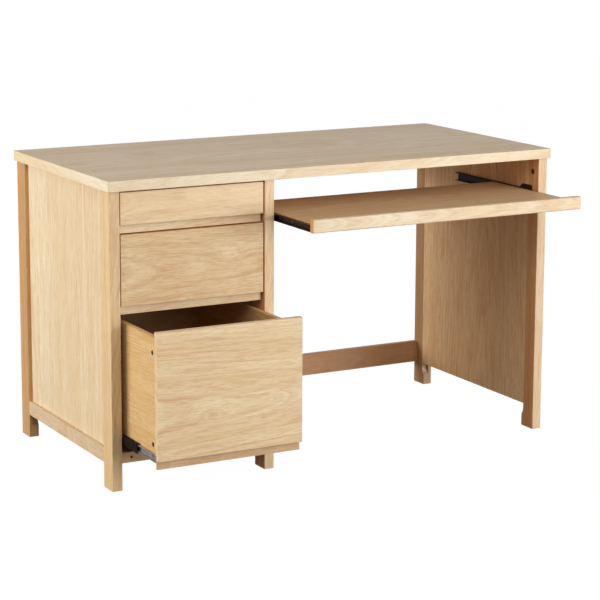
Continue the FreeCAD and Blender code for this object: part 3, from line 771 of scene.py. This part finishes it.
def between(value, low, high, to_low=0.0, to_high=1.0):
    """The value's place between two limits, eased at both, as a share or between two numbers."""
    inputs = dict(enumerate((value, low, high, to_low, to_high)))
    return add(value.tree, "MapRange", inputs, interpolation_type="SMOOTHSTEP")[0]


def mixed(tree, share, first, second, **settings):
    """A mix of two colours, by a share."""
    inputs = {0: share, 6: first, 7: second}
    return add(tree, "Mix", inputs, data_type="RGBA", **settings)[2]


def bumped(height, strength, depth):
    """A surface direction that follows a height."""
    inputs = {"Height": height, "Strength": strength, "Distance": depth}
    return add(height.tree, "Bump", inputs)[0]


def shaded(name):
    """A new material, its node tree and its main shader."""
    material = bpy.data.materials.new(name)
    material.use_nodes = True
    return material, material.node_tree, material.node_tree.nodes["Principled BSDF"]


print("a middle grey on the screen is", round(tone(128, 128, 128)[0], 3), "in light")

# %% [markdown]
# Every kind of mark in the wood is a noise, and what tells one kind from another is how often it
# comes along the grain, across it and into the board. Some are counted by the metre all three
# ways, and some by the ring across the grain, so that they follow the figure.

# %% The marks in the wood
class Mark:
    """One kind of mark: how often it comes in three ways, its step in the seed, the noise's detail
    and roughness, and how strongly it shows, from nothing at one limit to its most at the other."""

    def __init__(self, often, step, detail, roughness=0.5, limits=(0.0, 1.0), most=1.0):
        self.often, self.step, self.detail, self.roughness = often, step, detail, roughness
        self.limits, self.most = limits, most

    def drawn(self, place, seed):
        """The noise of this kind, over a place stretched by how often it comes."""
        stretched = {axis: value * by for axis, value, by in zip("XYZ", place, self.often)}
        vector = add(place[0].tree, "CombineXYZ", stretched)[0]
        return noise(vector, seed + self.step, self.detail, self.roughness)

    def eased(self, value, share=1.0):
        return between(value, *self.limits, 0.0, self.most * share)

    def shown(self, place, seed, share=1.0):
        return self.eased(self.drawn(place, seed)[0], share)


DRIFT = Mark((1.6, 5.0, 5.0), 0, 1.5)
RIPPLE = Mark((6.0, 14.0, 14.0), 1, 2.0)
YEARS = Mark((2.0, 60.0, 0.0), 2, 1.0, most=3.0)
STRONG_RING = Mark((2.5, 0.73, 0.0), 3, 2.0, limits=(0.38, 0.66))
FINE_LINE = Mark((5.0, 1.4, 0.0), 4, 4.0, 0.65, limits=(0.46, 0.62), most=0.75)
BAND = Mark((0.8, 0.14, 0.0), 5, 2.0, limits=(0.38, 0.62))
STREAK = Mark((9.0, 0.9, 0.0), 6, 3.0, 0.6, limits=(0.42, 0.66), most=0.45)
FIBRE = Mark((20.0, 560.0, 560.0), 7, 3.0, limits=(0.4, 0.65), most=0.45)
PORE = Mark((90.0, 2300.0, 2300.0), 9, 1.0, limits=(0.6, 0.72))
DASH = Mark((40.0, 400.0, 400.0), 11, 2.0, 0.6, limits=(0.47, 0.62), most=0.75)
print("pores for each metre:", PORE.often)

# %% Which yearly ring a point of the wood is in
def swirl(along, across, knot):
    """How far a branch pushes the rings aside: a hump over the knot, long along the grain and
    narrow across it. Its height is a power of e whose exponent is minus the squared distance,
    measured in the hump's own sizes."""
    knot_along, knot_across, long, wide, push = knot
    off_along, off_across = (along - knot_along) / long, (across - knot_across) / wide
    squared = off_along * off_along + off_across * off_across
    return (squared * -1).then("EXPONENT") * push


def pushed(value, drift, most):
    """A value moved by a noise about its middle, by up to half the given millimetres each way."""
    return value + (drift - 0.5) * (most * MM)


def ring_number(place, seed, heart, slope, ring, wander, waves, knots):
    """The distance from the wandering heart, plus a slope along the trunk, short waves in the
    fibres and the pushes of the branches, in rings. A last noise makes some years wider than
    others."""
    along, across, deep = place
    drift = apart(DRIFT.drawn(place, seed)["Color"])
    off_across = pushed(across - heart[0], drift["X"], wander)
    off_deep = pushed(deep - heart[1], drift["Y"], wander)
    out = (off_across * off_across + off_deep * off_deep).then("SQRT") + along * slope
    out = pushed(out, RIPPLE.drawn(place, seed)[0], waves)
    for knot in knots:
        out += swirl(along, across, knot)
    years = YEARS.drawn((along, out, 0.0), seed)[0]
    return out / (ring * MM) + years * YEARS.most


# %% A stain or painted shade on the faces that look one way
FACING = (0.6, 0.8)


def stain_and_painted_shade(base, normal, direction, share):
    """The wood, multiplied by a share on the faces that look along X, Y or Z, or only one way with
    a sign."""
    facing = apart(normal)[direction[-1]]
    if direction[0] == "-":
        facing *= -1
    elif len(direction) == 1:
        facing = facing.then("ABSOLUTE")
    looking = between(facing, *FACING)
    return mixed(base.tree, looking, base, share, blend_type="MULTIPLY")


# %% The oak itself
PALE, TAN, DARK = (1.06, 1.16, 1.26), (0.95, 0.92, 0.83), (0.76, 0.57, 0.42)   # of the mean colour
SEAM_CORE, SEAM_EDGE, SEAM_PALE = 1.0 * MM, 5.0 * MM, 0.4
STAVE_ACROSS, STAVE_ALONG = 0.037, 0.61
SPRING_RISE, SPRING_FADE = (0.0, 0.18), (0.2, 0.85)    # shares of a ring
RING_WEIGHT = 0.6
PORES_IN_LINES, PORES_ELSEWHERE, PORE_WEIGHT = 0.7, 0.3, 0.45
LINE_ROUGHNESS, PORE_ROUGHNESS = 0.08, 0.15
FIBRE_HEIGHT, PORE_HEIGHT = 0.3, -1.0
GRAIN_STRENGTH, GRAIN_DEPTH = 0.25, 0.15 * MM
LACQUER_IOR = 1.48


def oak(name, middle, grain, face, seed, colour, heart=(0.0, 0.08), slope=0.03, ring=4.0,
        wander=30.0, waves=12.0, figure=0.5, knots=(), seams=(), stave_tone=0.5, turned=(),
        roughness=0.45):
    """Oak for one board. Grain and face name the axes along the fibres and out of the broad face.
    Colour is the board's mean. Heart is where the tree's heart lies, in metres across and behind
    the board's middle. Ring, wander and waves are in millimetres. Seams are places across the board
    where staves meet in a paler line. Turned pairs a direction, such as X, +X or -X, with the mean
    colour of the faces that look that way. Colours are given as they look on a screen."""
    material, tree, shader = shaded(name)
    colour = tone(*colour)
    coordinates = add(tree, "TexCoord")
    centring = {"Vector": coordinates["Object"], "Location": tuple(-c for c in middle)}
    axes = apart(add(tree, "Mapping", centring)[0])
    other = next(letter for letter in "XYZ" if letter not in (grain, face))
    along, across, deep = axes[grain], axes[other], axes[face]
    stave = joint = 0.0
    for seam in seams:
        stave += across.then("GREATER_THAN", seam)
        away = (across - seam).then("ABSOLUTE")
        joint += between(away, SEAM_CORE, SEAM_EDGE, SEAM_PALE, 0.0)
    if seams:
        across += stave * STAVE_ACROSS
        along += stave * STAVE_ALONG
    place = (along, across, deep)
    count = ring_number(place, seed, heart, slope, ring, wander, waves, knots)
    year, by_ring = count.then("FRACT"), (along, count, 0.0)
    spring = between(year, *SPRING_RISE) * between(year, *SPRING_FADE, 1.0, 0.0)
    strong = STRONG_RING.shown((along, count.then("FLOOR"), 0.0), seed)
    dark_line = spring * strong * RING_WEIGHT + FINE_LINE.shown(by_ring, seed)
    fibre = FIBRE.drawn(place, seed)[0]
    pore = PORE.shown(place, seed) * (dark_line * PORES_IN_LINES + PORES_ELSEWHERE)
    pale, tan, dark = (tinted(colour, shares) for shares in (PALE, TAN, DARK))
    base = mixed(tree, BAND.shown(by_ring, seed), pale, tan)
    if seams:
        lone = add(tree, "TexWhiteNoise", {"W": stave + seed}, noise_dimensions="1D")
        base = mixed(tree, lone["Value"] * stave_tone, base, tan)
    layers = (
        (dark_line * figure, dark),
        (STREAK.shown((along, count, deep), seed, figure), dark),
        (DASH.shown(place, seed, figure), dark),
        (FIBRE.eased(fibre), pale),
        (pore * PORE_WEIGHT, dark),
        (joint, pale),
    )
    for share, shade in layers:
        base = mixed(tree, share, base, shade)
    # Turned faces carry either a real stain, such as the darker end grain of the tray, or painted
    # shade on the boards whose faces lie in shade.
    for direction, mean in turned:
        share = tinted(tone(*mean), [1 / part for part in colour[:3]])
        base = stain_and_painted_shade(base, coordinates["Normal"], direction, share)
    rough = dark_line * LINE_ROUGHNESS + roughness + pore * PORE_ROUGHNESS
    height = fibre * FIBRE_HEIGHT + pore * PORE_HEIGHT
    normal = bumped(height, GRAIN_STRENGTH, GRAIN_DEPTH)
    feed(shader, {"Base Color": base, "Roughness": rough, "Normal": normal, "IOR": LACQUER_IOR})
    return material


def middle_of(piece):
    """The middle of a piece's box."""
    corners = np.array([tuple(corner) for corner in piece.bound_box])
    return tuple(((corners.min(axis=0) + corners.max(axis=0)) / 2).tolist())


def finish_with(piece, material):
    """Gives a piece one material in place of what it had."""
    piece.data.materials.clear()
    piece.data.materials.append(material)


def wood(node, grain, face, seed, colour, **values):
    """Finishes one board, the new one if there is one."""
    piece = boards.get(node) or nodes[node]
    material = oak("oak_" + node, middle_of(piece), grain, face, seed, colour, **values)
    finish_with(piece, material)


# %% [markdown]
# ## The finish of each board
#
# No two boards of a desk are alike, so each one has its own mean colour, heart and seed. The top
# is a little greyer than the rest, and the lippings and the tray's lip are the palest. Some colours
# also hold painted light and shade: the left lipping and the right panel are paler as painted light,
# and the legs' faces in shade, the drawers' insides and the tops of two drawer faces are darker or
# browner as painted shade.

# %% Finish the top, its lippings and the panels
TOP = (227, 201, 166)
LIPPING_OAK = (217, 194, 159)
# The left lipping is the same wood as the others, made paler as painted light for the light that
# falls on the left end.
LIPPING_WITH_PAINTED_LIGHT = (222, 202, 170)
PALE_PANEL = (220, 198, 163)
WARM_PANEL = (238, 198, 149)
# The right panel's colour is raised above its wood's tone as painted light, to brighten its inner
# face in the shaded knee space.
RIGHT_PANEL_PAINTED_LIGHT = (248, 208, 161)
BASE_RAIL = (207, 181, 147)
FACE_OAK = (211, 181, 137)
BROWN_OAK = (216, 158, 107)

wood("top_board", "X", "Z", 1.0, TOP, heart=(0.05, -0.35), slope=0.02, ring=5.0, wander=60,
     figure=0.45, roughness=0.4)
for name, piece in lippings.items():
    grain, face = ("X", "Y") if name in ("front", "rear") else ("Y", "X")
    colour = LIPPING_WITH_PAINTED_LIGHT if name == "left" else LIPPING_OAK
    material = oak("oak_lipping_" + name, middle_of(piece), grain, face, 2.0 + len(name), colour,
                   heart=(0.02, 0.12), ring=2.2, wander=8, figure=0.3)
    finish_with(piece, material)
wood("left_panel", "Z", "X", 30.0, PALE_PANEL, heart=(0.35, 0.12), slope=0.01, wander=8, waves=3,
     seams=(-0.21, -0.113, 0.092), stave_tone=0.9, figure=0.6)
wood("inner_panel", "Z", "X", 31.0, WARM_PANEL, seams=(-0.12, 0.06))
wood("right_panel", "Z", "X", 32.0, RIGHT_PANEL_PAINTED_LIGHT, heart=(-0.01, 0.05), slope=0.05, ring=7.0, waves=6,
     seams=(0.14, -0.16), figure=0.8)
wood("pedestal_back_panel", "Z", "Y", 33.0, WARM_PANEL, seams=(-0.1, 0.08))
wood("base_rails", "Y", "X", 34.0, BASE_RAIL, ring=3)
wood("pedestal_closing_board", "X", "Z", 35.0, BROWN_OAK)
print("lippings finished:", len(lippings))

# %% Finish the legs and the rails
LEG_OAK = (214, 181, 138)
# The front and side colours of each leg hold painted shade where those faces lie in shade: the rear
# legs' fronts and the right legs' faces towards the knee space are darker or browner.
leg_tones_with_painted_shade = {
    "left_front_leg": ((210, 176, 131), (216, 183, 137)),
    "left_rear_leg": ((206, 158, 106), (191, 147, 98)),
    "inner_front_leg": ((220, 188, 147), BROWN_OAK),
    "inner_rear_leg": ((200, 160, 112), BROWN_OAK),
    "right_front_leg": ((214, 180, 139), (226, 168, 116)),
    "right_rear_leg": ((175, 140, 102), (188, 144, 101)),
}
for index, (node, (front, side)) in enumerate(leg_tones_with_painted_shade.items()):
    wood(node, "Z", "Y", 10.0 + index, LEG_OAK, heart=(0.03, 0.09), ring=2.6, wander=8,
         turned=(("-Y", front), ("-X", side)))
wood("tray_packer", "Y", "X", 40.0, BROWN_OAK, ring=3.5)
rail_tones = {
    "pedestal_front_rail": (226, 184, 135), "pedestal_top_rail": FACE_OAK,
    "rear_stretcher": (200, 151, 107), "rear_top_rail": BROWN_OAK, "rail_blocks": FACE_OAK,
}
for index, (node, colour) in enumerate(rail_tones.items()):
    wood(node, "X", "Y", 41.0 + index, colour, ring=3.5, figure=0.35)
print("legs:", len(leg_tones_with_painted_shade), "and rails:", len(rail_tones))

# %% Finish the drawers and the tray
TOP_FACE, FILE_FACE = (218, 186, 141), (218, 190, 148)
# The tops of the top and middle drawer faces are tinted a warm brown as painted shade, for the shade
# in the gap under the top.
FACE_EDGE_PAINTED_SHADE = (225, 172, 115)
STRIP_OAK, LOW_STRIP_OAK = (208, 179, 139), (197, 160, 119)
# The inner faces of the drawer sides, the bottoms and the backs are darker as painted shade, for the
# shade inside the drawers.
BOX_OAK, INSIDE_PAINTED_SHADE, BACK_PAINTED_SHADE = (210, 173, 120), (196, 154, 104), (160, 124, 82)
TRAY_OAK, LIP_OAK, TRAY_EDGE = (221, 183, 139), (218, 193, 158), (206, 152, 100)

wood("top_drawer_face", "X", "Y", 50.0, TOP_FACE, heart=(0.02, 0.07), slope=0.02, ring=6.0,
     waves=5, figure=0.45, turned=(("+Z", FACE_EDGE_PAINTED_SHADE),))
wood("middle_drawer_face", "X", "Y", 51.0, FACE_OAK, heart=(-0.01, 0.05), slope=0.05, ring=6.5,
     waves=4, figure=0.85, knots=((0.1, 0.012, 0.035, 0.012, 0.012),), turned=(("+Z", FACE_EDGE_PAINTED_SHADE),))
wood("file_drawer_face", "X", "Y", 52.0, FILE_FACE, heart=(-0.04, 0.06), slope=0.05, ring=6.5,
     waves=5, figure=0.6,
     knots=((-0.05, -0.055, 0.025, 0.012, 0.016), (0.04, 0.003, 0.06, 0.02, 0.012)))
for index, drawer in enumerate(DRAWERS):
    colour = LOW_STRIP_OAK if drawer == "file_drawer" else STRIP_OAK
    wood(drawer + "_pull_strip", "X", "Y", 60.0 + index, colour, ring=3)
    for side, inward in (("left", "+X"), ("right", "-X")):
        wood(drawer + "_" + side + "_side", "Y", "X", 63.0 + index * 2 + len(side), BOX_OAK,
             heart=(0.02, 0.05), figure=0.6, turned=((inward, INSIDE_PAINTED_SHADE),))
    wood(drawer + "_back", "X", "Y", 75.0 + index, BACK_PAINTED_SHADE)
    wood(drawer + "_bottom", "X", "Z", 80.0 + index, INSIDE_PAINTED_SHADE)
wood("tray_board", "X", "Z", 90.0, TRAY_OAK, heart=(0.05, -0.2), wander=40,
     turned=(("X", TRAY_EDGE),))
wood("tray_lip", "X", "Y", 91.0, LIP_OAK, heart=(0.004, 0.012), slope=0.1, ring=8.0, wander=10,
     waves=5, figure=0.5, turned=(("X", TRAY_EDGE),))
print("oak finishes:", sum(name.startswith("oak_") for name in bpy.data.materials.keys()))

# %% [markdown]
# ## Steel
#
# The runners are rolled from thin strip. The drawer members are zinc plated, the others have a dark
# coat, made darker and browner with painted shade for the shade inside the pedestal, and the tray's
# are black. Rolled and coated steel shows a faint mottle, and fine marks along the strip from the
# rolls.

# %% Finish the steel
ROLL_MARKS, TURNED_MARKS = (400.0, 12.0, 400.0), (200.0, 200.0, 200.0)    # how often, each way
MOTTLE = (90.0, 90.0, 90.0)
MOTTLE_LIMITS, MOTTLE_SHADE = (0.3, 0.7), 0.7
MARK_DETAIL = 3.0
MARK_ROUGHNESS, MARK_START = 0.25, 0.1
MARK_STRENGTH, MARK_DEPTH = 0.12, 0.05 * MM


def steel(name, colour, metallic, roughness, marks=ROLL_MARKS, gloss=0.5):
    """Steel with a mottle in its colour, and marks in its roughness and its surface, as often along
    X, Y and Z as marks says."""
    material, tree, shader = shaded(name)
    colour = tone(*colour)
    place = add(tree, "TexCoord")["Object"]
    drawn, cloud = (
        noise(add(tree, "Mapping", {"Vector": place, "Scale": often})[0], seed, MARK_DETAIL)[0]
        for often, seed in ((marks, 1.0), (MOTTLE, 2.0)))
    darker = tinted(colour, [MOTTLE_SHADE] * 3)
    feed(shader, {
        "Base Color": mixed(tree, between(cloud, *MOTTLE_LIMITS), colour, darker),
        "Roughness": drawn * MARK_ROUGHNESS + (roughness - MARK_START),
        "Normal": bumped(drawn, MARK_STRENGTH, MARK_DEPTH),
        "Metallic": metallic, "Specular IOR Level": gloss})
    return material


zinc = steel("zinc_plate", (170, 166, 160), 0.5, 0.4)
# A dark coat, made darker and browner than plain coated steel as painted shade for the shade inside
# the pedestal.
dark_coat_and_painted_shade = steel("dark_coat_and_painted_shade", (30, 21, 16), 0.0, 0.55, gloss=0.15)
black_coat = steel("black_coat", (35, 27, 24), 0.0, 0.45)
cage_plate = steel("cage_plate", (120, 118, 114), 1.0, 0.4)
screw_plate = steel("screw_plate", (150, 140, 124), 1.0, 0.35, marks=TURNED_MARKS)
cam_coat = steel("cam_coat", (60, 53, 48), 0.2, 0.5, marks=TURNED_MARKS)

for node in nodes:
    if node.endswith("_members"):
        drawer_coat = zinc if "_inner_" in node else dark_coat_and_painted_shade
        finish_with(nodes[node], black_coat if node.startswith("tray_") else drawer_coat)
for node in balls:
    finish_with(nodes[node], cage_plate)
    finish_with(balls[node], screw_plate)
for piece in bpy.data.objects:
    if piece.name.startswith("round_") or "_round_" in piece.name:
        coated = piece.name.endswith("cams") or piece == case_screws
        finish_with(piece, cam_coat if coated else screw_plate)
print("coats on the case's screws:", case_screws.data.materials.keys())

# %% [markdown]
# ## The studio
#
# The desk stands on a plain pale floor in soft light: a broad low light in front and to the right,
# a smaller one higher up, two at the left, a weak one above the left corner and a weak one behind.
# The lacquered top would mirror the two at the left and the one behind as a glare, so they only
# light the wood. Behind the desk all is white.

# %% Floor and world
FLOOR_HALF = 9.0
FLOOR_GLOW, FLOOR_GREY, GLOW_SHARE = 1.1, 0.2, 0.9
SKY_SEEN, SKY_MIRRORED, SKY_LIGHT = 1.02, 0.57, 0.28
WHITE = (1, 1, 1, 1)

grid = np.array([(-1, -1, 0), (1, -1, 0), (1, 1, 0), (-1, 1, 0)]) * FLOOR_HALF
floor_mesh = bpy.data.meshes.new("floor")
floor_mesh.from_pydata(grid.tolist(), [], [[0, 1, 2, 3]])
floor = linked("floor", floor_mesh)
paint, tree = shaded("floor_paint")[:2]
seen = add(tree, "LightPath")["Is Camera Ray"]
glow = add(tree, "Emission", {"Color": WHITE, "Strength": FLOOR_GLOW})[0]
matt = add(tree, "BsdfDiffuse", {"Color": (FLOOR_GREY, FLOOR_GREY, FLOOR_GREY, 1)})[0]
blend = add(tree, "MixShader", {"Fac": seen * GLOW_SHARE, 1: matt, 2: glow})[0]
feed(tree.nodes["Material Output"], {"Surface": blend})
floor.data.materials.append(paint)

world = bpy.data.worlds.new("studio")
bpy.context.scene.world = world
world.use_nodes = True
tree = world.node_tree
path = add(tree, "LightPath")
bright = path["Is Camera Ray"].then("MAXIMUM", path["Is Glossy Ray"] * SKY_MIRRORED)
strength = (bright * SKY_SEEN).then("MAXIMUM", SKY_LIGHT)
feed(tree.nodes["Background"], {"Strength": strength, "Color": WHITE})
print("floor in metres:", 2 * FLOOR_HALF)

# %% Lights
AIM = Vector((0.0, -0.05, 0.45))
LIGHTS = {    # place, power, width, height
    "front_light": ((2.6, -3.8, 0.8), 142, 2.8, 1.4),
    "high_front_light": ((0.6, -4.4, 2.2), 44, 2.2, 1.6),
    "left_light": ((-4.2, 0.2, 0.9), 66, 1.6, 1.4),
    "rear_left_light": ((-3.8, 1.4, 1.2), 74, 1.6, 1.9),
    "high_left_light": ((-1.8, -2.4, 2.8), 34, 1.8, 1.8),
    "rear_light": ((1.0, 4.2, 2.0), 15, 2.2, 2.2),
}
UNMIRRORED = ("left_light", "rear_left_light", "rear_light")

for name, (place, power, width, height) in LIGHTS.items():
    data = bpy.data.lights.new(name, "AREA")
    data.energy = power
    data.shape = "RECTANGLE"
    data.size = width
    data.size_y = height
    light = linked(name, data)
    light.location = place
    light.rotation_euler = (AIM - Vector(place)).to_track_quat("-Z", "Y").to_euler()
    light.visible_glossy = name not in UNMIRRORED
bpy.context.scene.view_settings.view_transform = "Standard"
bpy.context.scene.view_settings.look = "None"
print("lights:", sorted(LIGHTS))
